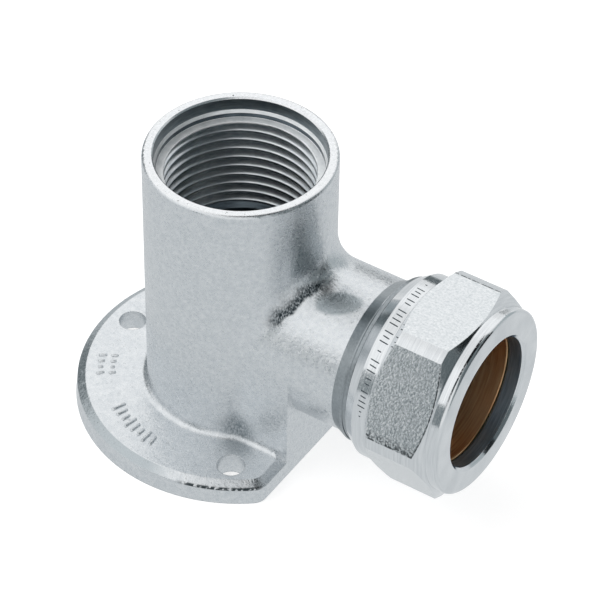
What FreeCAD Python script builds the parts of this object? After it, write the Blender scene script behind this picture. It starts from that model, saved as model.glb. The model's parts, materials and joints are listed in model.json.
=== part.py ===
import FreeCAD, Part
import math
import os

# Wall plate elbow for a 22 mm tube, in millimetres.
# Z rises from the wall face along the threaded boss, X runs out along the tube branch.

# tube and its socket in the branch
tube_dia = 22.0
tube_clearance = 0.1
tube_stop_depth = 9.4
seat_depth = 2.1
seat_lip = 0.35

# branch, forged a little low of the tube's axis and turned true from the collar on
branch_height = 21.7
branch_dia = 26.0
branch_drop = 0.8
branch_bore_dia = 19.5
flare_dia = 27.6
flare_length = 2.4
flare_slope = 1.9
collar_dia = 28.2
collar_face = 29.1
collar_width = 0.8
collar_edge = 0.25

# threaded end, a core at the root of its fine male thread, with a relief groove behind it
male_wall = 2.4
male_thread_depth = 0.92
male_end_length = 7.8
male_end_edge = 0.2
relief_width = 1.1
relief_depth = 0.2

# threaded boss
boss_dia = 31.0
boss_height = 50.8
rim_round = 0.6
mouth_dia = 27.4
mouth_depth = 2.3
mouth_edge = 0.25
lead_dia = 26.8
lead_slope = 0.85
lead_length = 1.3
thread_major_dia = 26.44
thread_minor_dia = 24.12
thread_length = 17.9
thread_runout = 1.4
thread_bore_end = 24.0
well_dia = 20.0
well_floor = 11.4
drill_point_angle = 118.0

# wall plate, a disc cut straight under the branch, its centre a little behind the boss
plate_dia = 54.2
plate_shift = 0.4
plate_thickness = 3.8
plate_side = 2.9
plate_draft = 0.3
plate_bevel = 1.4
plate_reach = 2.2
plate_corner = 2.6
screw_circle_dia = 44.0
screw_hole_dia = 4.6
screw_count = 3

# forged blends where the branch leaves the boss, and where both stand on the plate
neck_blend = 5.0
foot_blend = 1.1

# compression nut, its lengths measured from its own back face, bored to its thread's root
nut_gap = 0.2
nut_length = 17.35
nut_thread_clearance = 0.06
nut_flats = 31.9
nut_corner_dia = 35.6
nut_twist = 1.0
nut_back_wall = 0.85
nut_back_chamfer = 1.9
nut_band_dia = 31.3
nut_band_end = 4.4
nut_corner_start = 5.9
nut_corner_end = 14.1
nut_collar_start = 15.3
nut_collar_dia = 31.3
nut_face_round = 0.7
nut_bore_chamfer = 0.5
nut_bore_length = 2.7
nut_cone_angle = 45.0
nut_ring_room = 0.85
nut_thread_end = 8.3

# brass ring that grips the tube
ring_wall = 1.45
ring_lip = 0.35
ring_play = 0.1

# sizes that follow
tube_r = tube_dia / 2 + tube_clearance
male_r = tube_r + male_wall
male_core_r = male_r - male_thread_depth
mouth_x = collar_face + male_end_length
seat_r = male_core_r - male_end_edge - seat_lip
plate_flat = boss_dia / 2 + plate_reach
nut_back = collar_face + nut_gap
nut_face = nut_back + nut_length
ring_end_r = tube_r + ring_lip
ring_r = tube_r + ring_wall
nut_cavity_r = ring_r + nut_ring_room
slack = 0.01
x_axis = FreeCAD.Vector(1, 0, 0)
z_axis = FreeCAD.Vector(0, 0, 1)


def turned_on_x(profile, height):
    # profile lists the corners of a half section as (distance along X, radius)
    corners = [FreeCAD.Vector(x, 0, height + radius) for x, radius in profile]
    face = Part.Face(Part.makePolygon(corners + corners[:1]))
    return face.revolve(FreeCAD.Vector(0, 0, height), x_axis, 360)


def turned_on_z(profile):
    # profile lists the corners of a half section as (height, radius)
    corners = [FreeCAD.Vector(radius, 0, height) for height, radius in profile]
    face = Part.Face(Part.makePolygon(corners + corners[:1]))
    return face.revolve(FreeCAD.Vector(0, 0, 0), z_axis, 360)


def plate_outline(height, round_inset, flat_inset):
    # a long arc, the straight side and a small arc at each corner between them
    radius = plate_dia / 2 - round_inset
    corner_x = plate_flat + plate_shift - flat_inset - plate_corner
    corner_y = math.sqrt((radius - plate_corner) ** 2 - corner_x ** 2)
    turn = math.atan2(corner_y, corner_x)

    def on_corner(angle, side):
        x = corner_x - plate_shift + plate_corner * math.cos(angle)
        y = corner_y + plate_corner * math.sin(angle)
        return FreeCAD.Vector(x, side * y, height)

    back = FreeCAD.Vector(-radius - plate_shift, 0, height)
    return Part.Wire([
        Part.LineSegment(on_corner(0, -1), on_corner(0, 1)).toShape(),
        Part.Arc(on_corner(0, 1), on_corner(turn / 2, 1), on_corner(turn, 1)).toShape(),
        Part.Arc(on_corner(turn, 1), back, on_corner(turn, -1)).toShape(),
        Part.Arc(on_corner(turn, -1), on_corner(turn / 2, -1), on_corner(0, -1)).toShape(),
    ])


def make_plate():
    # upright side with a little draft on the round, then a bevel up to the top face
    foot = plate_outline(0, 0, 0)
    shoulder = plate_outline(plate_side, plate_draft, 0)
    top = plate_outline(plate_thickness, plate_draft + plate_bevel, plate_bevel)
    side = Part.makeLoft([foot, shoulder], True, True)
    bevel = Part.makeLoft([shoulder, top], True, True)
    return side.fuse(bevel)


def make_flare():
    # widens the forged branch up to the turned collar
    collar_start = collar_face - collar_width
    start = collar_start - flare_length
    profile = [
        (start, 0),
        (start, branch_dia / 2),
        (start + flare_slope, flare_dia / 2),
        (collar_start, flare_dia / 2),
        (collar_start, 0),
    ]
    return turned_on_x(profile, branch_height - branch_drop)


def make_threaded_end():
    # collar, relief groove and the core of the male thread, turned on the tube's axis
    relief_end = collar_face + relief_width
    collar_start = collar_face - collar_width
    profile = [
        (collar_start, 0),
        (collar_start, collar_dia / 2 - collar_edge),
        (collar_start + collar_edge, collar_dia / 2),
        (collar_face, collar_dia / 2),
        (collar_face, male_core_r - relief_depth),
        (relief_end - relief_depth, male_core_r - relief_depth),
        (relief_end, male_core_r),
        (mouth_x - male_end_edge, male_core_r),
        (mouth_x, male_core_r - male_end_edge),
        (mouth_x, 0),
    ]
    return turned_on_x(profile, branch_height)


def edges_on(shape, test):
    # edges whose every sampled point passes the test
    return [edge for edge in shape.Edges if all(test(point) for point in edge.discretize(5))]


def blend_forging(shape):
    boss_r = boss_dia / 2

    def on_neck(point):
        on_boss = abs(math.hypot(point.x, point.y) - boss_r) < slack
        return on_boss and point.x > -slack and point.z < boss_height - rim_round

    def on_foot(point):
        near = math.hypot(point.x, point.y) < boss_r + neck_blend or abs(point.y) < branch_dia / 2 + slack
        return near and abs(point.z - plate_thickness) < slack and point.x < plate_flat - plate_bevel + slack

    def on_rim(point):
        return abs(point.z - boss_height) < slack

    neck = [edge for edge in edges_on(shape, on_neck) if edge.BoundBox.ZLength > neck_blend]
    shape = shape.makeFillet(neck_blend, neck)
    foot = [edge for edge in edges_on(shape, on_foot) if edge.BoundBox.XMin < plate_flat - plate_bevel - slack]
    shape = shape.makeFillet(foot_blend, foot)
    return shape.makeFillet(rim_round, edges_on(shape, on_rim))


def make_forging():
    # the branch has straight sides that run down to the plate as far as its flat
    forged_r = branch_dia / 2
    forged_axis = branch_height - branch_drop
    branch_length = collar_face - collar_width
    boss = Part.makeCylinder(boss_dia / 2, boss_height)
    branch = Part.makeCylinder(forged_r, branch_length, FreeCAD.Vector(0, 0, forged_axis), x_axis)
    web = Part.makeBox(plate_flat, branch_dia, forged_axis, FreeCAD.Vector(0, -forged_r, 0))
    forging = make_plate().fuse([boss, branch, web]).removeSplitter()
    return blend_forging(forging).fuse([make_flare(), make_threaded_end()]).removeSplitter()


def make_boss_bore():
    # mouth, its lead down to the tapped length, and the drilled well that the branch bore runs into
    mouth_r = mouth_dia / 2
    lead_r = lead_dia / 2
    major_r = thread_major_dia / 2
    minor_r = thread_minor_dia / 2
    well_r = well_dia / 2
    mouth_floor = boss_height - mouth_depth
    lead_end = mouth_floor - lead_length
    thread_end = mouth_floor - thread_length
    point_height = well_r / math.tan(math.radians(drill_point_angle / 2))
    profile = [
        (boss_height, 0),
        (boss_height, mouth_r + mouth_edge),
        (boss_height - mouth_edge, mouth_r),
        (mouth_floor, mouth_r),
        (mouth_floor - lead_slope, lead_r),
        (lead_end, lead_r),
        (lead_end - (lead_r - major_r), major_r),
        (thread_end, major_r),
        (thread_end - thread_runout, minor_r),
        (thread_bore_end, minor_r),
        (thread_bore_end - (minor_r - well_r), well_r),
        (well_floor, well_r),
        (well_floor - point_height, 0),
    ]
    return turned_on_z(profile)


def make_branch_bore():
    # waterway, tube socket with its stop, and the cone that the ring seats in
    stop = mouth_x - tube_stop_depth
    profile = [
        (0, 0),
        (0, branch_bore_dia / 2),
        (stop, branch_bore_dia / 2),
        (stop, tube_r),
        (mouth_x - seat_depth, tube_r),
        (mouth_x, seat_r),
        (mouth_x, 0),
    ]
    return turned_on_x(profile, branch_height)


def make_elbow_body():
    body = make_forging()
    holes = []
    for index in range(screw_count):
        angle = math.pi + 2 * math.pi * index / screw_count
        centre = FreeCAD.Vector(math.cos(angle), math.sin(angle), 0) * (screw_circle_dia / 2)
        holes.append(Part.makeCylinder(screw_hole_dia / 2, plate_thickness, centre))
    return body.cut([make_boss_bore(), make_branch_bore()] + holes).removeSplitter()


def nut_cone_x(radius):
    # where the cone inside the nut has this radius
    return nut_face - nut_bore_length - (radius - tube_r) / math.tan(math.radians(nut_cone_angle))


def make_nut():
    # turned inside and out, then six flats are milled over the widest part
    groove_r = male_r + nut_thread_clearance
    outside = [
        (nut_back, 0),
        (nut_back, groove_r + nut_back_wall),
        (nut_back + nut_back_chamfer, nut_band_dia / 2),
        (nut_back + nut_band_end, nut_band_dia / 2),
        (nut_back + nut_corner_start, nut_corner_dia / 2),
        (nut_back + nut_corner_end, nut_corner_dia / 2),
        (nut_back + nut_collar_start, nut_collar_dia / 2),
        (nut_face, nut_collar_dia / 2),
        (nut_face, 0),
    ]
    blank = turned_on_x(outside, branch_height)
    rim = edges_on(blank, lambda point: abs(point.x - nut_face) < slack)
    blank = blank.makeFillet(nut_face_round, rim)
    inside = [
        (nut_back, 0),
        (nut_back, groove_r),
        (nut_back + nut_thread_end, groove_r),
        (nut_back + nut_thread_end, nut_cavity_r),
        (nut_cone_x(nut_cavity_r), nut_cavity_r),
        (nut_cone_x(tube_r), tube_r),
        (nut_face - nut_bore_chamfer, tube_r),
        (nut_face, tube_r + nut_bore_chamfer),
        (nut_face, 0),
    ]
    corner_reach = nut_flats / 2 / math.cos(math.pi / 6)
    corners = []
    for index in range(6):
        angle = math.radians(nut_twist) + index * math.pi / 3
        y = corner_reach * math.cos(angle)
        z = branch_height + corner_reach * math.sin(angle)
        corners.append(FreeCAD.Vector(nut_back, y, z))
    hexagon = Part.Face(Part.makePolygon(corners + corners[:1])).extrude(x_axis * nut_length)
    return blank.common(hexagon).cut(turned_on_x(inside, branch_height))


def make_ring():
    # plain bore with a lip at each end, and cones that lie along those of the body and the nut
    seat_slope = seat_depth / (seat_r - tube_r)
    nut_slope = 1 / math.tan(math.radians(nut_cone_angle))
    rise = ring_r - ring_end_r
    back = mouth_x - seat_depth + ring_lip * seat_slope + ring_play
    front = nut_cone_x(ring_end_r) - ring_play
    profile = [
        (back, tube_r),
        (back, ring_end_r),
        (back + rise * seat_slope, ring_r),
        (front - rise * nut_slope, ring_r),
        (front, ring_end_r),
        (front, tube_r),
    ]
    return turned_on_x(profile, branch_height)


os.makedirs("parts", exist_ok=True)
make_elbow_body().exportStep("parts/elbow_body.step")
make_nut().exportStep("parts/compression_nut.step")
make_ring().exportStep("parts/compression_ring.step")
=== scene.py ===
import json
import math
import bpy
import bmesh
from mathutils import Matrix, Vector


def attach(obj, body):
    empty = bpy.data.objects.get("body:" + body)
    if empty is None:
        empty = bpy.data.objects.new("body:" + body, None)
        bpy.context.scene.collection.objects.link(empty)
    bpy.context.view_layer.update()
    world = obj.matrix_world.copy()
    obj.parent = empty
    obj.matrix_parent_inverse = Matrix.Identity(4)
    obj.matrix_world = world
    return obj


# Wall plate elbow: a plated brass forging with a tapped boss, and a compression nut and ring on its branch.
# The scene is in metres, sizes are written in mm. Z rises along the boss from the wall face, and X runs out
# along the branch.

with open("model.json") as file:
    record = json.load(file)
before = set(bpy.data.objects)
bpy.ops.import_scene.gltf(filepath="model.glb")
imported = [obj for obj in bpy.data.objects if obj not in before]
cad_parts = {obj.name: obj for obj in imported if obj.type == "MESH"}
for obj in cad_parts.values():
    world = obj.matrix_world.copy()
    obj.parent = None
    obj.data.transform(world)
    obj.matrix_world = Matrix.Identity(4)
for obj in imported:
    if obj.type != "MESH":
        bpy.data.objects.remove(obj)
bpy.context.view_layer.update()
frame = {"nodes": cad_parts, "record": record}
nodes = frame["nodes"]
mounts = {mount["name"]: mount for mount in frame["record"]["mounts"]}
mm = 0.001
axisHeight = mounts["tube_socket"]["pos_m"][2] / mm  # the branch's axis above the wall face
plateTop = mounts["screw_holes"]["pos_m"][2] / mm
tapTop = mounts["female_thread"]["pos_m"][2] / mm  # where the boss's thread begins
tapRoot = mounts["female_thread"]["dims"]["r_mm"]  # radius of its grooves
nutTwist = 1.0  # degrees that the nut's flats are turned from level
print("frame loaded:", sorted(nodes))


def toLinear(hexColour):
    # sRGB hex to the linear colour that a shader socket takes
    parts = [int(hexColour[i:i + 2], 16) / 255 for i in (1, 3, 5)]
    return tuple(p / 12.92 if p <= 0.04045 else ((p + 0.055) / 1.055) ** 2.4 for p in parts) + (1.0,)


def addNode(tree, kind, inputs=None, stops=None, **settings):
    # one node with its settings, its fixed input values, its links and any colour stops of a ramp;
    # a node that is given as an input stands for its first output in use
    node = tree.nodes.new(kind)
    for name, value in settings.items():
        setattr(node, name, value)
    for socketName, value in (inputs or {}).items():
        if isinstance(value, bpy.types.Node):
            value = next(output for output in value.outputs if output.enabled)
        if isinstance(value, bpy.types.NodeSocket):
            tree.links.new(value, node.inputs[socketName])
        else:
            node.inputs[socketName].default_value = value
    if stops:
        elements = node.color_ramp.elements
        while len(elements) < len(stops):
            elements.new(0.5)
        for element, (place, hexColour) in zip(elements, stops):
            element.position = place
            element.color = toLinear(hexColour)
    return node


def newMaterial(name):
    material = bpy.data.materials.new(name)
    material.use_nodes = True
    material.node_tree.nodes.clear()
    return material, material.node_tree


def towards(azimuth, elevation):
    # unit vector towards a direction given in degrees
    az, el = math.radians(azimuth), math.radians(elevation)
    return Vector((math.cos(el) * math.cos(az), math.cos(el) * math.sin(az), math.sin(el)))


# camera at the photograph's angle, lens length for a 36 mm sensor across the square frame
cameraView = {
    "azimuth": -57.4945,
    "elevation": 42.3952,
    "roll": 1.0166,
    "distance": 0.48114,
    "target": (0.0115628, -0.0001981, 0.0258028),
    "lens": 180.807,
    "sensor": 36,
    "clip": (0.01, 20),
}


def makeCamera(view):
    back = towards(view["azimuth"], view["elevation"])
    right = (-back).cross(Vector((0, 0, 1))).normalized()
    up = right.cross(-back)
    roll = math.radians(view["roll"])
    rolledRight = math.cos(roll) * right + math.sin(roll) * up
    rolledUp = math.cos(roll) * up - math.sin(roll) * right
    data = bpy.data.cameras.new("photoCamera")
    data.sensor_fit = "HORIZONTAL"
    data.sensor_width = view["sensor"]
    data.lens = view["lens"]
    data.clip_start, data.clip_end = view["clip"]
    camera = bpy.data.objects.new("photoCamera", data)
    turn = Matrix((rolledRight, rolledUp, back)).transposed().to_4x4()
    camera.matrix_world = Matrix.Translation(Vector(view["target"]) + view["distance"] * back) @ turn
    bpy.context.scene.collection.objects.link(camera)
    bpy.context.scene.camera = camera


makeCamera(cameraView)
bpy.context.scene.view_settings.view_transform = "Standard"
print("camera placed")


# plain white studio: soft boxes light the floor, and the metal sees a white sky, the pale floor, a bright
# window behind and grey cards; places and aims are (azimuth, elevation) in degrees from the studio's centre
studio = {
    "centre": (0.012, 0, 0.026),
    "white": (1, 1, 1, 1),
    "skyLight": 0.35,
    "floorSize": 6.0,
    "floorDrop": 0.05,
    "floorColour": "#b4b4b4",
    "floorGrain": (0.6, 3.0),
    "floorBump": (0.02, 0.1),
    "floorWhite": 0.72,
    "floorInMetal": ((0.96, 0.985, 1, 1), 0.78),
    "lamps": {
        "leftBox": {"place": (-148, 40), "away": 1.1, "size": (1.5, 1.5), "brightness": 1.5},
        "backBox": {"place": (143, 38), "away": 1.1, "size": (1.3, 1.4), "brightness": 1.5},
        "frontBox": {"place": (-58, 30), "away": 1.1, "size": (1.25, 0.8), "brightness": 1.2},
    },
    "shade": (0.76, 0.94, 1.0),
    "cardGrid": (32, 16),
    "cards": {
        "windowCard": {"aim": (120, 44), "reach": (38, 18), "away": 0.95, "brightness": 1.15},
        "leftCard": {"aim": (-148, 44), "reach": (40, 20), "away": 0.95, "brightness": 1.15},
        "topCard": {"aim": (8, 77), "reach": (15, 20), "away": 0.8, "brightness": 0.03},
        "frontCard": {"aim": (6, 47), "reach": (30, 20), "away": 0.9, "brightness": 0.25},
        "sideCard": {"aim": (33, 14), "reach": (58, 15), "away": 0.92, "brightness": 0.54},
        "darkCard": {"aim": (25, 10), "reach": (9, 22), "away": 0.22, "brightness": 0.02},
        "dimCard": {"aim": (1, 10), "reach": (15, 22), "away": 0.22, "brightness": 0.17},
        "slotCard": {"aim": (110, 4), "reach": (4, 9), "away": 0.5, "brightness": 0.16},
        "gapCard": {"aim": (-104, 8), "reach": (8, 15), "away": 0.9, "brightness": 0.27},
        "lowLeftCard": {"aim": (170, 8), "reach": (17, 17), "away": 0.9, "brightness": 0.2},
    },
}
studioCentre = Vector(studio["centre"])


def raySeen(tree, rays):
    # 1 for the rays that see the plain white studio rather than its light
    path = addNode(tree, "ShaderNodeLightPath").outputs
    seen = path[rays[0]]
    for name in rays[1:]:
        seen = addNode(tree, "ShaderNodeMath", {0: seen, 1: path[name]}, operation="MAXIMUM")
    return seen


def makeSky(look):
    world = bpy.data.worlds.new("studioSky")
    world.use_nodes = True
    tree = world.node_tree
    tree.nodes.clear()
    light = addNode(tree, "ShaderNodeBackground", {"Color": look["white"], "Strength": look["skyLight"]})
    white = addNode(tree, "ShaderNodeBackground", {"Color": look["white"], "Strength": 1.0})
    seen = raySeen(tree, ["Is Camera Ray", "Is Glossy Ray", "Is Transmission Ray"])
    both = addNode(tree, "ShaderNodeMixShader", {0: seen, 1: light, 2: white})
    addNode(tree, "ShaderNodeOutputWorld", {"Surface": both})
    bpy.context.scene.world = world


def makeFloor(look):
    # matt white paper with a faint tooth, a little lifted to the eye and plain white in the metal
    material, tree = newMaterial("paperWhiteMatt")
    size, detail = look["floorGrain"]
    depth, strength = look["floorBump"]
    fibres = addNode(tree, "ShaderNodeTexNoise", {"Scale": 1 / (size * mm), "Detail": detail})
    bump = addNode(tree, "ShaderNodeBump", {"Height": fibres, "Strength": strength, "Distance": depth * mm})
    matt = addNode(tree, "ShaderNodeBsdfDiffuse", {"Color": toLinear(look["floorColour"]), "Normal": bump})
    lift = addNode(tree, "ShaderNodeMath", {0: raySeen(tree, ["Is Camera Ray"]), 1: look["floorWhite"]},
                   operation="MULTIPLY")
    glow = addNode(tree, "ShaderNodeEmission", {"Color": look["white"], "Strength": lift})
    lit = addNode(tree, "ShaderNodeAddShader", {0: matt, 1: glow})
    colour, strength = look["floorInMetal"]
    inMetal = addNode(tree, "ShaderNodeEmission", {"Color": colour, "Strength": strength})
    both = addNode(tree, "ShaderNodeMixShader", {0: raySeen(tree, ["Is Glossy Ray"]), 1: lit, 2: inMetal})
    addNode(tree, "ShaderNodeOutputMaterial", {"Surface": both})
    half = look["floorSize"] / 2
    corners = [(-half, -half, 0), (half, -half, 0), (half, half, 0), (-half, half, 0)]
    mesh = bpy.data.meshes.new("studioFloor")
    mesh.from_pydata(corners, [], [(0, 1, 2, 3)])
    mesh.materials.append(material)
    floor = bpy.data.objects.new("studioFloor", mesh)
    floor.location.z = -look["floorDrop"] * mm
    bpy.context.scene.collection.objects.link(floor)


def makeSoftBox(name, box):
    # its power is what gives the box's face that brightness
    data = bpy.data.lights.new(name, "AREA")
    data.shape = "RECTANGLE"
    data.size, data.size_y = box["size"]
    data.energy = box["brightness"] * math.pi * data.size * data.size_y
    light = bpy.data.objects.new(name, data)
    aim = towards(*box["place"])
    light.location = studioCentre + box["away"] * aim
    light.rotation_euler = aim.to_track_quat("Z", "Y").to_euler()
    light.visible_camera = False
    light.visible_glossy = False
    bpy.context.scene.collection.objects.link(light)


def makeCard(name, card, look):
    # a patch of a dome round the object, seen by the metal alone; the darker it is the bluer
    tint = [1 - (1 - part) * max(0, 1 - card["brightness"]) for part in look["shade"]]
    material, tree = newMaterial(name + "Cloth")
    glow = addNode(tree, "ShaderNodeEmission", {"Color": (*tint, 1), "Strength": card["brightness"]})
    addNode(tree, "ShaderNodeOutputMaterial", {"Surface": glow})
    azimuth, elevation = (math.radians(angle) for angle in card["aim"])
    turn = Matrix.Rotation(azimuth, 3, "Z") @ Matrix.Rotation(-elevation, 3, "Y")
    (reachAcross, reachUp), (across, up) = card["reach"], look["cardGrid"]
    row = across + 1
    points = []
    for j in range(up + 1):
        for i in range(row):
            way = towards(reachAcross * (2 * i / across - 1), reachUp * (2 * j / up - 1))
            points.append(studioCentre + card["away"] * (turn @ way))
    faces = [(j * row + i, j * row + i + 1, (j + 1) * row + i + 1, (j + 1) * row + i)
             for j in range(up) for i in range(across)]
    mesh = bpy.data.meshes.new(name)
    mesh.from_pydata(points, [], faces)
    mesh.materials.append(material)
    piece = bpy.data.objects.new(name, mesh)
    for sight in ("visible_camera", "visible_diffuse", "visible_shadow", "visible_volume_scatter"):
        setattr(piece, sight, False)
    bpy.context.scene.collection.objects.link(piece)


def makeStudio(look):
    makeSky(look)
    makeFloor(look)
    for name, box in look["lamps"].items():
        makeSoftBox(name, box)
    for name, card in look["cards"].items():
        makeCard(name, card, look)


makeStudio(studio)
print("studio lit")


# A metal finish is a dictionary. Its measures are named values at each point: x, y, z and place in mm, its
# patterns, each a noise (grain size in mm, detail, stretch), and what its own function adds. A fade is
# (measure, from, to, value up to there, value beyond). A tint is a colour, or (measure, colour stops).
def makeFades(tree, measures, fades):
    # the product of the fades
    product = None
    for name, start, end, low, high in fades:
        ends = {"Value": measures[name], "From Min": start, "From Max": end, "To Min": low, "To Max": high}
        fade = addNode(tree, "ShaderNodeMapRange", ends, interpolation_type="SMOOTHSTEP")
        if product is not None:
            fade = addNode(tree, "ShaderNodeMath", {0: product, 1: fade}, operation="MULTIPLY")
        product = fade
    return product


def makeTint(tree, measures, tint):
    # one even colour, or colours that run with a measure
    if isinstance(tint, str):
        return toLinear(tint)
    name, stops = tint
    return addNode(tree, "ShaderNodeValToRGB", {"Fac": measures[name]}, stops=stops)


def makeMeasures(tree, look):
    # place in mm on the piece at rest, so that a pattern stays with a piece that moves
    inMetres = addNode(tree, "ShaderNodeTexCoord").outputs["Object"]
    place = addNode(tree, "ShaderNodeVectorMath", {0: inMetres, "Scale": 1 / mm}, operation="SCALE")
    apart = addNode(tree, "ShaderNodeSeparateXYZ", {"Vector": place}).outputs
    measures = {"place": place, "x": apart["X"], "y": apart["Y"], "z": apart["Z"]}
    for name, (size, detail, stretch) in look["patterns"].items():
        stretched = addNode(tree, "ShaderNodeMapping", {"Vector": place, "Scale": stretch})
        noise = {"Vector": stretched, "Scale": 1 / size, "Detail": detail}
        measures[name] = addNode(tree, "ShaderNodeTexNoise", noise)
    return measures


def makeFinish(look, addMeasures=None):
    # metal in its colour, with stains over it, and its bumps stacked over rounded arrises
    material, tree = newMaterial(look["name"])
    measures = makeMeasures(tree, look)
    if addMeasures:
        addMeasures(tree, measures, look)
    colour = makeTint(tree, measures, look["colour"])
    for tint, fades in look.get("stains", []):
        factor, tint = makeFades(tree, measures, fades), makeTint(tree, measures, tint)
        colour = addNode(tree, "ShaderNodeMix", {"Factor": factor, "A": colour, "B": tint}, data_type="RGBA")
    roughness = look["roughness"]
    if isinstance(roughness, tuple):
        roughness = makeFades(tree, measures, [roughness])
    surface = {"Metallic": look.get("metal", 1.0), "Base Color": colour, "Roughness": roughness}
    if "arris" in look:
        surface["Normal"] = addNode(tree, "ShaderNodeBevel", {"Radius": look["arris"] * mm}, samples=4)
    for height, depth, strength in look["bumps"]:
        height = measures[height] if isinstance(height, str) else makeFades(tree, measures, height)
        bump = {"Height": height, "Strength": strength, "Distance": depth * mm}
        if "Normal" in surface:
            bump["Normal"] = surface["Normal"]
        surface["Normal"] = addNode(tree, "ShaderNodeBump", bump)
    metal = addNode(tree, "ShaderNodeBsdfPrincipled", surface)
    addNode(tree, "ShaderNodeOutputMaterial", {"Surface": metal})
    return material


even = (1, 1, 1)  # a pattern that isn't stretched
finishes = {}

# nickel chrome over blasted brass: a soft grey sheen with a peened grain and small pits, and a torn dark band
# where the die trimmed the blend between boss and branch. The real grain is about 0.1 mm, too fine to show in
# the render, so it is drawn three to eight times as coarse.
tornBand = [
    ("outOfBand", -1.725, -0.115, 0, 1), ("outOfBand", 0.4, 0.92, 1, 0), ("x", 10.8, 13.5, 0, 1),
    ("y", -3.5, -1, 1, 0), ("z", 27.8, 29.8, 0, 1), ("z", 34.3, 35.2, 1, 0),
]
blastedLook = {
    "name": "chromePlatedBrassBlasted",
    "patterns": {
        "fine": (0.34, 3.0, even), "peened": (0.85, 2.0, even), "broad": (2.2, 3.0, even),
        "pits": (0.8, 5.0, even), "tears": (0.55, 5.0, (1, 0.55, 1)), "streaks": (0.24, 4.0, (1, 1, 0.45)),
    },
    "peenedShare": 0.45,
    "raggedEdge": ("broad", 0.3, 0.7, -0.2, 0.2),
    "bandSlope": 0.092,  # the torn band's middle lies at reach = radius + slope x z
    "bandRadius": 14.0,
    # the painted dark reflection on the branch, a soft grey patch: its middle, and two ways across it divided
    # by its half widths
    "darkReflectionAt": (21.3, -4.3, 33.2),
    "darkReflectionWays": ((0.2176, 0.1228, 0.0475), (-0.2093, 0.3903, 0.1511)),
    # the middle of the painted shade in the crease at the boss's foot
    "creaseShadeAt": (8.4, -13.3, 5.9),
    "colour": ("mottle", [(0.34, "#c9ced2"), (0.5, "#d5d9dc"), (0.66, "#e0e3e5")]),
    "roughness": ("fine", 0.3, 0.7, 0.25, 0.36),
    "arris": 0.25,
    "bumps": [
        ("broad", 0.04, 1.0), ("peened", 0.045, 1.0), ("fine", 0.027, 1.0),
        ([("pits", 0.26, 0.36, 0, 1)], 0.03, 1.0), (tornBand + [("tears", 0.3, 0.7, -1, 1)], 0.05, 1.0),
    ],
    "stains": [
        # painted dark reflection on the branch's upper side
        ("#a8b0b4", [("fromDarkReflection", 0.78, 1.12, 1, 0), ("z", 30, 31, 0, 1)]),
        # painted shade in the crease at the boss's foot, streaked
        ("#828b90", [("fromCreaseShade", 0.6, 4.6, 1, 0), ("streaks", 0.35, 0.65, 1, 0.4),
                     ("z", 3.7, 4.6, 0.4, 1)]),
        # painted dark reflection on the far half of the plate's bevel
        ("#adb5b9", [("reach", 24.5, 24.7, 0, 0.9), ("x", -1, 5, 1, 0), ("z", 2.8, 3, 0, 1),
                     ("z", 3.7, 3.78, 1, 0)]),
        # the torn band
        (("streaks", [(0.42, "#2b3439"), (0.66, "#6c767b")]), tornBand + [("streaks", 0.4, 0.7, 1, 0.55)]),
        # a broken dark line along the front of the plate's edge, where its side meets the bevel
        ("#3b4347", [("z", 2.56, 2.74, 0, 1), ("z", 2.98, 3.16, 1, 0), ("x", 4.5, 7.5, 0, 1),
                     ("x", 17.5, 19.5, 1, 0), ("y", -21, -19, 1, 0), ("tears", 0.5, 0.62, 1, 0.1)]),
    ],
}


def measureBlasted(tree, measures, look):
    # both grains mixed, the reach from the boss's axis made a little ragged, and the distances out of the torn
    # band, from the painted dark reflection on the branch in its half widths, and from the painted crease
    # shade
    grains = {"Factor": look["peenedShare"], "A": measures["fine"], "B": measures["peened"]}
    measures["mottle"] = addNode(tree, "ShaderNodeMix", grains)
    level = addNode(tree, "ShaderNodeCombineXYZ", {"X": measures["x"], "Y": measures["y"]})
    reach = addNode(tree, "ShaderNodeVectorMath", {0: level}, operation="LENGTH")
    ragged = makeFades(tree, measures, [look["raggedEdge"]])
    measures["reach"] = addNode(tree, "ShaderNodeMath", {0: reach, 1: ragged}, operation="ADD")
    band = addNode(tree, "ShaderNodeMath", {0: measures["z"], 1: look["bandSlope"], 2: look["bandRadius"]},
                   operation="MULTIPLY_ADD")
    measures["outOfBand"] = addNode(tree, "ShaderNodeMath", {0: measures["reach"], 1: band},
                                    operation="SUBTRACT")
    place = measures["place"]
    away = addNode(tree, "ShaderNodeVectorMath", {0: place, 1: look["darkReflectionAt"]}, operation="SUBTRACT")
    across, along = (addNode(tree, "ShaderNodeVectorMath", {0: away, 1: way}, operation="DOT_PRODUCT")
                     for way in look["darkReflectionWays"])
    onSkin = addNode(tree, "ShaderNodeCombineXYZ", {"X": across, "Y": along})
    measures["fromDarkReflection"] = addNode(tree, "ShaderNodeVectorMath", {0: onSkin}, operation="LENGTH")
    measures["fromCreaseShade"] = addNode(tree, "ShaderNodeVectorMath", {0: place, 1: look["creaseShadeAt"]},
                                     operation="DISTANCE")


finishes["blasted"] = makeFinish(blastedLook, measureBlasted)

# nickel chrome over turned brass: bright, with fine rings round the nut's axis and rounded arrises, and a
# painted dark reflection, a broken line where the nut's collar rounds over into its face
turnedLook = {
    "name": "chromePlatedBrassTurned",
    "patterns": {"rings": (0.2, 2.0, (1, 0.04, 0.04)), "specks": (0.3, 4.0, even)},
    "colour": ("rings", [(0.3, "#d0d4d7"), (0.7, "#e0e3e5")]),
    "roughness": ("specks", 0.3, 0.7, 0.09, 0.17),
    "arris": 0.14,
    "bumps": [("rings", 0.004, 1.0), ("specks", 0.004, 1.0)],
    "stains": [
        # painted dark reflection in the rounded edge between the nut's collar and its face
        ("#2b3337", [("x", 45.84, 45.94, 0, 1), ("x", 46.08, 46.22, 1, 0), ("y", -14, -10.5, 0, 1),
                     ("y", -3, -1, 1, 0), ("z", 28, 30, 0, 1), ("specks", 0.5, 0.64, 1, 0.35)]),
    ],
}
finishes["turned"] = makeFinish(turnedLook)
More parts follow.
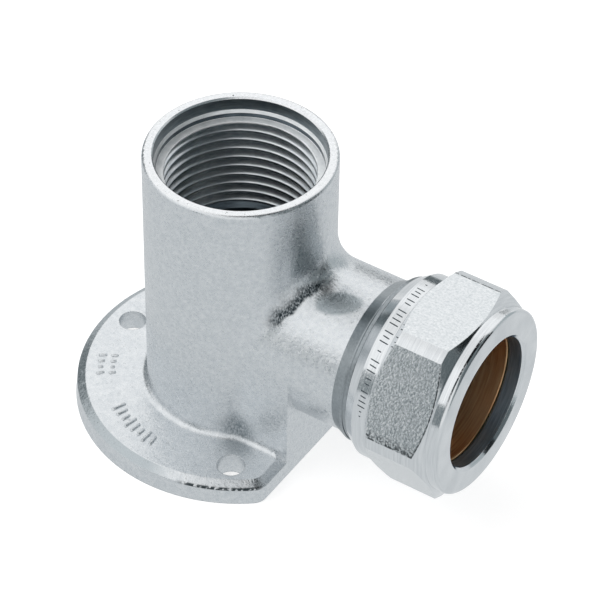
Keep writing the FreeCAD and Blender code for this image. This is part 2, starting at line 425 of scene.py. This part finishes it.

# the same plating over the milled flats: a sparkling fine grain from the cutter, with dark ragged lines where
# the near flat runs out into the front cone, along its foot, and along the far edge of the top flat
milledLook = {
    "name": "chromePlatedBrassMilled",
    "patterns": {
        "sparkle": (0.38, 5.0, even), "streaks": (0.34, 3.0, (0.5, 1, 1)), "ragged": (0.4, 5.0, even),
    },
    "streakShare": 0.4,
    "coneSlope": -0.558,  # the front cone lies at x = tip + slope x radius
    "coneTip": 53.335,
    "nearFlat": 150,  # degrees round from level to the near flat's middle
    "colour": ("both", [(0.34, "#c4cacd"), (0.64, "#e2e5e7")]),
    "roughness": ("both", 0.3, 0.7, 0.12, 0.24),
    "arris": 0.12,
    "bumps": [("streaks", 0.014, 0.6), ("sparkle", 0.04, 1.0)],
    "stains": [
        ("#2b3337", [("out", 15.88, 15.92, 0, 1), ("toCone", 0.1, 0.32, 1, 0),
                     ("ragged", 0.48, 0.6, 1, 0.1)]),
        ("#2b3337", [("out", 15.88, 15.92, 0, 1), ("along", -7.8, -6, 0.9, 0),
                     ("sparkle", 0.42, 0.58, 1, 0)]),
        ("#2b3337", [("y", 7.3, 7.6, 0, 1), ("z", 30, 31, 0, 1), ("ragged", 0.5, 0.62, 1, 0.3)]),
    ],
}


def measureMilled(tree, measures, look):
    # both grains mixed, how far behind the front cone a point lies, how far out towards the near flat, and
    # how far along that flat
    grains = {"Factor": look["streakShare"], "A": measures["sparkle"], "B": measures["streaks"]}
    measures["both"] = addNode(tree, "ShaderNodeMix", grains)
    fromAxis = addNode(tree, "ShaderNodeVectorMath", {0: measures["place"], 1: (0, 0, axisHeight)},
                       operation="SUBTRACT")
    upright = addNode(tree, "ShaderNodeVectorMath", {0: fromAxis, 1: (0, 1, 1)}, operation="MULTIPLY")
    radius = addNode(tree, "ShaderNodeVectorMath", {0: upright}, operation="LENGTH")
    cone = addNode(tree, "ShaderNodeMath", {0: radius, 1: look["coneSlope"], 2: look["coneTip"]},
                   operation="MULTIPLY_ADD")
    measures["toCone"] = addNode(tree, "ShaderNodeMath", {0: cone, 1: measures["x"]}, operation="SUBTRACT")
    lean = math.radians(nutTwist + look["nearFlat"])
    ways = {"out": (0, math.cos(lean), math.sin(lean)), "along": (0, math.sin(lean), -math.cos(lean))}
    for name, way in ways.items():
        measures[name] = addNode(tree, "ShaderNodeVectorMath", {0: fromAxis, 1: way}, operation="DOT_PRODUCT")


finishes["milled"] = makeFinish(milledLook, measureMilled)

# the boss's rim and mouth, faced in a lathe: bright, with small dark nicks
facedLook = {
    "name": "chromePlatedBrassFaced",
    "patterns": {"specks": (0.34, 4.0, even), "nicks": (0.6, 4.0, even)},
    "colour": ("specks", [(0.3, "#dde0e2"), (0.7, "#e8eaec")]),
    "roughness": 0.24,
    "arris": 0.12,
    "bumps": [("specks", 0.003, 1.0)],
    "stains": [("#6b7276", [("nicks", 0.26, 0.33, 1, 0)])],
}
finishes["faced"] = makeFinish(facedLook)

# finishes with one pattern, stretched into rings where a lathe or a tap has been
plainLooks = {
    # painted shade in the recess above the thread: satin plating, painted greyer
    "recess": {"name": "chromePlatedBrassRecessPaintedShade", "shades": ("#788288", "#97a1a6"), "roughness": 0.34,
               "grain": (0.3, 3.0, (0.15, 0.15, 1)), "depth": 0.006},
    # painted shade on the forged flare behind the collar, painted duller and greyer than the rest of the skin
    "flared": {"name": "chromePlatedBrassFlaredPaintedShade", "shades": ("#8b9296", "#a1a8ac"), "roughness": 0.3,
               "grain": (0.4, 4.0, even), "depth": 0.02},
    # painted highlight: the turned step inside the mouth, satin and painted evenly pale so that it looks lit
    # from any side
    "step": {"name": "chromePlatedBrassStepPaintedHighlight", "shades": ("#d6dadc", "#eceeef"), "roughness": 0.42,
             "metal": 0.4, "grain": (0.3, 3.0, (0.2, 0.2, 1)), "depth": 0.006},
    # the same plating in the tapped bore, thin and smoky down in the grooves
    "tapped": {"name": "chromePlatedBrassTapped", "shades": ("#c4cbd0", "#e2e6e8"), "roughness": 0.33,
               "grain": (0.15, 2.0, (0.1, 0.1, 1)), "depth": 0.004},
    # painted reflection inside the nut and the tube's bore: the plating is painted grey blue and a little
    # darker than the outside, for the dark bore that it mirrors
    "bored": {"name": "chromePlatedBrassBoredPaintedReflection", "shades": ("#8aa3b8", "#b4c8d8"), "roughness": 0.38,
              "grain": (0.2, 2.0, (1, 0.05, 0.05)), "depth": 0.005},
    # painted shade deep in the waterway: the plating is painted dull and dark
    "throat": {"name": "throatPaintedShade", "shades": ("#495157", "#69737a"), "roughness": 0.3,
               "grain": (0.3, 2.0, (0.1, 0.1, 1)), "depth": 0.006},
    # the floors of ticks struck through the plating, dull and dark
    "struck": {"name": "chromePlatedBrassStruck", "shades": ("#3d4448", "#6a7277"), "roughness": 0.5,
               "stops": (0.35, 0.65), "grain": (0.2, 3.0, even), "depth": 0.01},
    # bare brass, turned in a lathe: brown gold in the nut's shade, with fine rings and a bright rounded edge
    "brass": {"name": "brassTurned", "shades": ("#dda878", "#fbd6a8"), "roughness": 0.36, "arris": 0.3,
              "grain": (0.25, 3.0, (1, 0.04, 0.04)), "depth": 0.006},
}


def makePlainFinish(look):
    # the grain alone carries the two shades and the bump
    stops = list(zip(look.get("stops", (0.3, 0.7)), look["shades"]))
    bumps = [("grain", look["depth"], 1.0)]
    parts = {"patterns": {"grain": look["grain"]}, "colour": ("grain", stops), "bumps": bumps}
    return makeFinish({**look, **parts})


for finishName, plainLook in plainLooks.items():
    finishes[finishName] = makePlainFinish(plainLook)
print("materials made:", len(finishes))


# where one finish of the body ends and the next begins: reaches from the boss's or the branch's axis, floors
# in z, ends along x, and leans as the part of a face's normal that counts
bodyZones = {
    "flareStart": 25.8, "flareEnd": 29.6, "flareReach": 12, "flareLean": -0.2,
    "collarStart": 27.8, "collarReach": 13, "turnedStart": 28.25, "mouthStart": 36.8, "tubeReach": 11.2,
    "mouthReach": 14.3, "recessFloor": 48.5, "recessLean": 0.3,
    "tapReach": 13.4, "tapFloor": 30.8, "wellFloor": 12, "wallLean": -0.01,
    "rimReach": 15.6, "rimFloor": 50.7, "wellReach": 10.1, "waterwayStart": 9.5, "waterwayFloor": 8,
}


def elbowFinish(centre, normal):
    # forged skin, except where a tool has been
    zone = bodyZones
    reach = math.hypot(centre.x, centre.y)
    onBranch = math.hypot(centre.y, centre.z - axisHeight)
    onFlare = normal.x < zone["flareLean"] and onBranch > zone["flareReach"]
    onCollar = centre.x > zone["collarStart"] and onBranch > zone["collarReach"]
    if zone["flareStart"] < centre.x < zone["flareEnd"] and (onFlare or onCollar):
        return "flared"
    if centre.x > zone["turnedStart"]:
        return "turned" if centre.x > zone["mouthStart"] or onBranch > zone["tubeReach"] else "bored"
    if reach < zone["mouthReach"] and centre.z > zone["recessFloor"] and abs(normal.z) < zone["recessLean"]:
        return "recess"
    if reach < zone["mouthReach"] and centre.z > tapTop:
        return "faced"
    onWall = normal.x * centre.x + normal.y * centre.y < zone["wallLean"]
    if reach < zone["tapReach"] and centre.z > zone["wellFloor"] and onWall:
        return "tapped" if centre.z > zone["tapFloor"] else "throat"
    if reach < zone["rimReach"] and centre.z > zone["rimFloor"]:
        return "faced"
    inBranch = onBranch < zone["tubeReach"] and centre.x > zone["waterwayStart"]
    if reach < zone["wellReach"] or (inBranch and centre.z > zone["waterwayFloor"]):
        return "throat"
    return "blasted"


# the nut's bore, and its six flats: how near a milled face comes to a flat's reach, turn and upright
nutZones = {
    "boreReach": 14.5, "boreLean": -0.2, "boreEnd": 46.1,
    "flatTurn": 30, "flatEvery": 60, "flatReach": 15.95,
    "turnSlack": 0.3, "reachSlack": 0.03, "leanSlack": 0.02,
}


def nutFinish(centre, normal):
    # turned, except in the bore and on the six flats
    zone = nutZones
    up = centre.z - axisHeight
    reach = math.hypot(centre.y, up)
    outwards = normal.y * centre.y + normal.z * up
    if outwards / reach < zone["boreLean"] and reach < zone["boreReach"] and centre.x < zone["boreEnd"]:
        return "bored"
    every = zone["flatEvery"]
    turn = (math.degrees(math.atan2(normal.z, normal.y)) - nutTwist - zone["flatTurn"]) % every
    facesFlat = min(turn, every - turn) < zone["turnSlack"] and abs(normal.x) < zone["leanSlack"]
    onFlat = facesFlat and abs(outwards - zone["flatReach"]) < zone["reachSlack"]
    return "milled" if onFlat else "turned"


def ringFinish(centre, normal):
    return "brass"


def dress(piece, chooseFinish):
    # one material slot for each finish, chosen face by face
    names = []
    place = piece.matrix_world
    turn = place.to_3x3()
    piece.data.materials.clear()
    for polygon in piece.data.polygons:
        name = chooseFinish((place @ polygon.center) / mm, (turn @ polygon.normal).normalized())
        if name not in names:
            names.append(name)
            piece.data.materials.append(finishes[name])
        polygon.material_index = names.index(name)
    print(piece.name, "dressed in", names)


dress(nodes["elbow_body"], elbowFinish)
dress(nodes["compression_nut"], nutFinish)
dress(nodes["compression_ring"], ringFinish)
print("frame dressed")


def addSkin(bm, rings, closed=False):
    # quads from each ring of points, in mm, to the next, then back to the first or a lid on each end
    rings = [[bm.verts.new(point * mm) for point in ring] for ring in rings]
    for first, second in zip(rings, rings[1:] + (rings[:1] if closed else [])):
        for i in range(len(first)):
            j = (i + 1) % len(first)
            bm.faces.new((first[i], first[j], second[j], second[i]))
    if not closed:
        bm.faces.new(rings[-1])
        bm.faces.new(list(reversed(rings[0])))


def finishNames(look):
    # the main finish first, then any others that single faces take
    return [look["finish"]] + sorted(set(look.get("others", {}).values()))


def finishPiece(name, bm, look):
    # smooth faces with crisp edges, its finishes, and the body that it moves with
    bmesh.ops.recalc_face_normals(bm, faces=bm.faces)
    mesh = bpy.data.meshes.new(name)
    bm.to_mesh(mesh)
    bm.free()
    mesh.polygons.foreach_set("use_smooth", [True] * len(mesh.polygons))
    mesh.set_sharp_from_angle(angle=math.radians(look["crisp"]))
    for finish in finishNames(look):
        mesh.materials.append(finishes[finish])
    piece = bpy.data.objects.new(name, mesh)
    bpy.context.scene.collection.objects.link(piece)
    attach(piece, look["body"])
    print(name, "made,", len(mesh.polygons), "faces")


# helical threads, each a ridge with its foot sunk a little into the metal that carries it: half its section
# is (offset in pitches, rise from root to crest), and it fades in and out over the lead angles
threads = {
    "femaleThread": {
        "body": "elbow", "slot": "body_plating", "finish": "tapped", "crisp": 28, "axis": "z", "sides": 128,
        "pitch": 1.8143, "start": 30.0, "end": tapTop + 0.02, "top": tapTop + 0.1, "crestAt": (122.5, 45.3),
        "root": tapRoot + 0.08, "crest": 12.06, "sunk": 0.12, "leadIn": 0.5, "leadOut": 110,
        "shape": [(0.5, 0), (0.43, 0.08), (0.378, 0.2), (0.13, 0.93), (0.09, 0.985), (0, 1)],
    },
    "maleThread": {
        "body": "elbow", "slot": "body_plating", "finish": "turned", "crisp": 28, "axis": "x", "sides": 96,
        "pitch": 1.5, "start": 30.1, "end": 37.1, "top": 40, "crestAt": (90, 33.0),
        "root": 12.56, "crest": 13.5, "sunk": -0.12, "leadIn": 200, "leadOut": 120,
        "shape": [(0.375, 0), (0.34, 0.09), (0.075, 0.97), (0.05, 1), (0, 1)],
    },
    "nutThread": {
        "body": "nut", "slot": "nut_plating", "finish": "turned", "crisp": 28, "axis": "x", "sides": 96,
        "pitch": 1.5, "start": 29.3, "end": 37.9, "top": 40, "crestAt": (90, 33.75),
        "root": 13.58, "crest": 12.70, "sunk": 0.12, "leadIn": 120, "leadOut": 120,
        "shape": [(0.4375, 0), (0.4, 0.1), (0.14, 0.96), (0.11, 1), (0, 1)],
    },
}
flankSteps = 4


def ridgePoint(thread, angle, along, radius):
    across, up = radius * math.cos(angle), radius * math.sin(angle)
    return Vector((across, up, along)) if thread["axis"] == "z" else Vector((along, across, axisHeight + up))


def ridgeSection(shape):
    # the whole section from its half, each straight of it cut into steps
    half = []
    for (x0, y0), (x1, y1) in zip(shape, shape[1:]):
        shares = [i / flankSteps for i in range(flankSteps)]
        half += [(x0 + (x1 - x0) * share, y0 + (y1 - y0) * share) for share in shares]
    return [(-offset, rise) for offset, rise in half] + [(0, 1)] + half[::-1]


def riseAt(section, place):
    # height of the ridge's section at an offset along the axis
    for (x0, y0), (x1, y1) in zip(section, section[1:]):
        if x0 <= place <= x1:
            return y0 + (y1 - y0) * (place - x0) / max(x1 - x0, 1e-9)
    return 0 if place < section[0][0] else 1


def makeThread(name, thread):
    # one closed bar that runs round the axis, its ends sinking away into the root and its top cut level
    pitch, sides, top, root = (thread[key] for key in ("pitch", "sides", "top", "root"))
    crestAngle, crestPlace = thread["crestAt"]
    firstStep = math.ceil((thread["start"] - crestPlace) / pitch * sides)
    lastStep = math.floor((thread["end"] - crestPlace) / pitch * sides)
    leadOut, leadIn = (sides * thread[key] / 360 for key in ("leadOut", "leadIn"))
    section = ridgeSection(thread["shape"])
    foot = thread["shape"][0][0]
    rings = []
    for step in range(firstStep, lastStep + 1):
        angle = math.radians(crestAngle) + 2 * math.pi * step / sides
        centre = crestPlace + pitch * step / sides
        fade = min(1, (step - firstStep) / leadOut, (lastStep - step) / leadIn)
        height = (thread["crest"] - root) * fade * fade * (3 - 2 * fade)
        crossing = riseAt(section, (top - centre) / pitch)
        ring = []
        for offset, rise in section:
            along = centre + offset * pitch
            if along > top:
                along, rise = top, min(rise, crossing)
            ring.append(ridgePoint(thread, angle, along, root + height * rise))
        for offset in (foot, -foot):
            along = min(centre + offset * pitch, top)
            ring.append(ridgePoint(thread, angle, along, root + thread["sunk"]))
        rings.append(ring)
    bm = bmesh.new()
    addSkin(bm, rings)
    finishPiece(name, bm, thread)


for threadName, thread in threads.items():
    makeThread(threadName, thread)


# the step at the boss's mouth where the tap starts: a small chamfer, a short wall and the flat of the first
# crest, as a closed section of (height, radius); others are the sides of it that take another finish, and the
# short wall takes the throat's painted shade
mouthStep = {
    "body": "elbow", "slot": "body_plating", "finish": "step", "crisp": 24, "sides": 160,
    "others": {2: "throat", 9: "tapped", 10: "tapped"},
    "section": [(48.49, 13.71), (48.46, 13.66), (47.98, 13.37), (47.24, 13.34), (47.2, 13.3), (47.2, 12.16),
                (47.16, 12.1), (47.05, 12.06), (46.94, 12.08), (46.86, 12.12), (46.4, 13.05), (46.3, 13.35),
                (47.1, 13.45)],
}


def makeTurned(name, look):
    # a closed section turned round the boss
    rings = []
    for i in range(look["sides"]):
        angle = 2 * math.pi * i / look["sides"]
        rings.append([Vector((radius * math.cos(angle), radius * math.sin(angle), height))
                      for height, radius in look["section"]])
    bm = bmesh.new()
    addSkin(bm, rings, closed=True)
    names = finishNames(look)
    for i, face in enumerate(bm.faces):
        face.material_index = names.index(look["others"].get(i % len(look["section"]), look["finish"]))
    finishPiece(name, bm, look)


makeTurned("mouthStep", mouthStep)


# plain bars raised on the plate in rows round the boss, angles in degrees; the section goes up a bar's side
# as (height over the plate, how far it has drawn in), and every second and third bar is shorter
castMarks = {
    "body": "elbow", "slot": "body_plating", "finish": "blasted", "crisp": 50,
    "section": [(-0.1, -0.04), (0.196, 0.084), (0.28, 0.192)],
    "corners": 12, "squareness": 1.25, "shorter": 0.18,
    "rows": [
        {"reach": 23.3, "from": 204.5, "to": 215, "count": 4, "size": (1.5, 0.5), "slant": 12},
        {"reach": 21.3, "from": 204, "to": 215, "count": 4, "size": (1.3, 0.5), "slant": 12},
        {"reach": 21.7, "from": 237, "to": 263, "count": 8, "size": (2.7, 0.6), "slant": 10},
    ],
}


def roundedSquare(corners, squareness):
    # points on a circle pushed out and cut back to a square of half width 1
    turns = [2 * math.pi * (corner + 0.5) / corners for corner in range(corners)]
    points = [(squareness * math.cos(turn), squareness * math.sin(turn)) for turn in turns]
    return [(max(-1, min(1, u)), max(-1, min(1, v))) for u, v in points]


def makeCastMarks(name, look):
    bm = bmesh.new()
    outline = roundedSquare(look["corners"], look["squareness"])
    for row in look["rows"]:
        for index in range(row["count"]):
            angle = row["from"] + (row["to"] - row["from"]) * index / (row["count"] - 1)
            foot = row["reach"] * towards(angle, 0) + Vector((0, 0, plateTop))
            along, beside = towards(angle + row["slant"], 0), towards(angle + row["slant"] + 90, 0)
            half, wide = row["size"][0] / 2 * (1 - look["shorter"] * (index % 3)), row["size"][1] / 2
            rings = []
            for height, drawn in look["section"]:
                middle = foot + Vector((0, 0, height))
                rings.append([middle + along * u * (half - drawn) + beside * v * (wide - drawn)
                              for u, v in outline])
            addSkin(bm, rings)
    finishPiece(name, bm, look)


makeCastMarks("castMarks", castMarks)


# plain ticks struck in the nut's band: each group is (start angle, count, tick length), a tick bends with the
# band, leans a little, and every middle one of three is shorter
bandTicks = {
    "body": "nut", "slot": "nut_plating", "finish": "struck", "crisp": 50,
    "radius": 15.65, "sunk": 0.05, "proud": 0.008, "middle": 32.55, "step": 3.2, "width": 0.2,
    "lean": 0.05, "shorter": 0.75,
    "groups": [(78, 1, 0.4), (84, 3, 1.5), (95, 2, 1.5), (104, 4, 1.6), (119, 3, 1.6), (131, 1, 0.7),
               (137, 3, 1.6), (148, 2, 1.1), (156, 4, 1.3), (169, 2, 0.4)],
    "outline": [(-1, -0.7), (-0.7, -1), (0.7, -1), (1, -0.7), (1, 0.7), (0.7, 1), (-0.7, 1), (-1, 0.7)],
}


def makeBandTicks(name, look):
    bm = bmesh.new()
    for start, count, length in look["groups"]:
        for index in range(count):
            half = length / 2 * (look["shorter"] if index % 3 == 1 else 1)
            rings = []
            for radius in (look["radius"] - look["sunk"], look["radius"] + look["proud"]):
                ring = []
                for u, v in look["outline"]:
                    aside = (u * look["width"] / 2 + v * look["lean"] * length) / look["radius"]
                    angle = math.radians(start + look["step"] * index) + aside
                    across, up = radius * math.cos(angle), radius * math.sin(angle)
                    ring.append(Vector((look["middle"] + v * half, across, axisHeight + up)))
                rings.append(ring)
            addSkin(bm, rings)
    finishPiece(name, bm, look)


makeBandTicks("bandTicks", bandTicks)
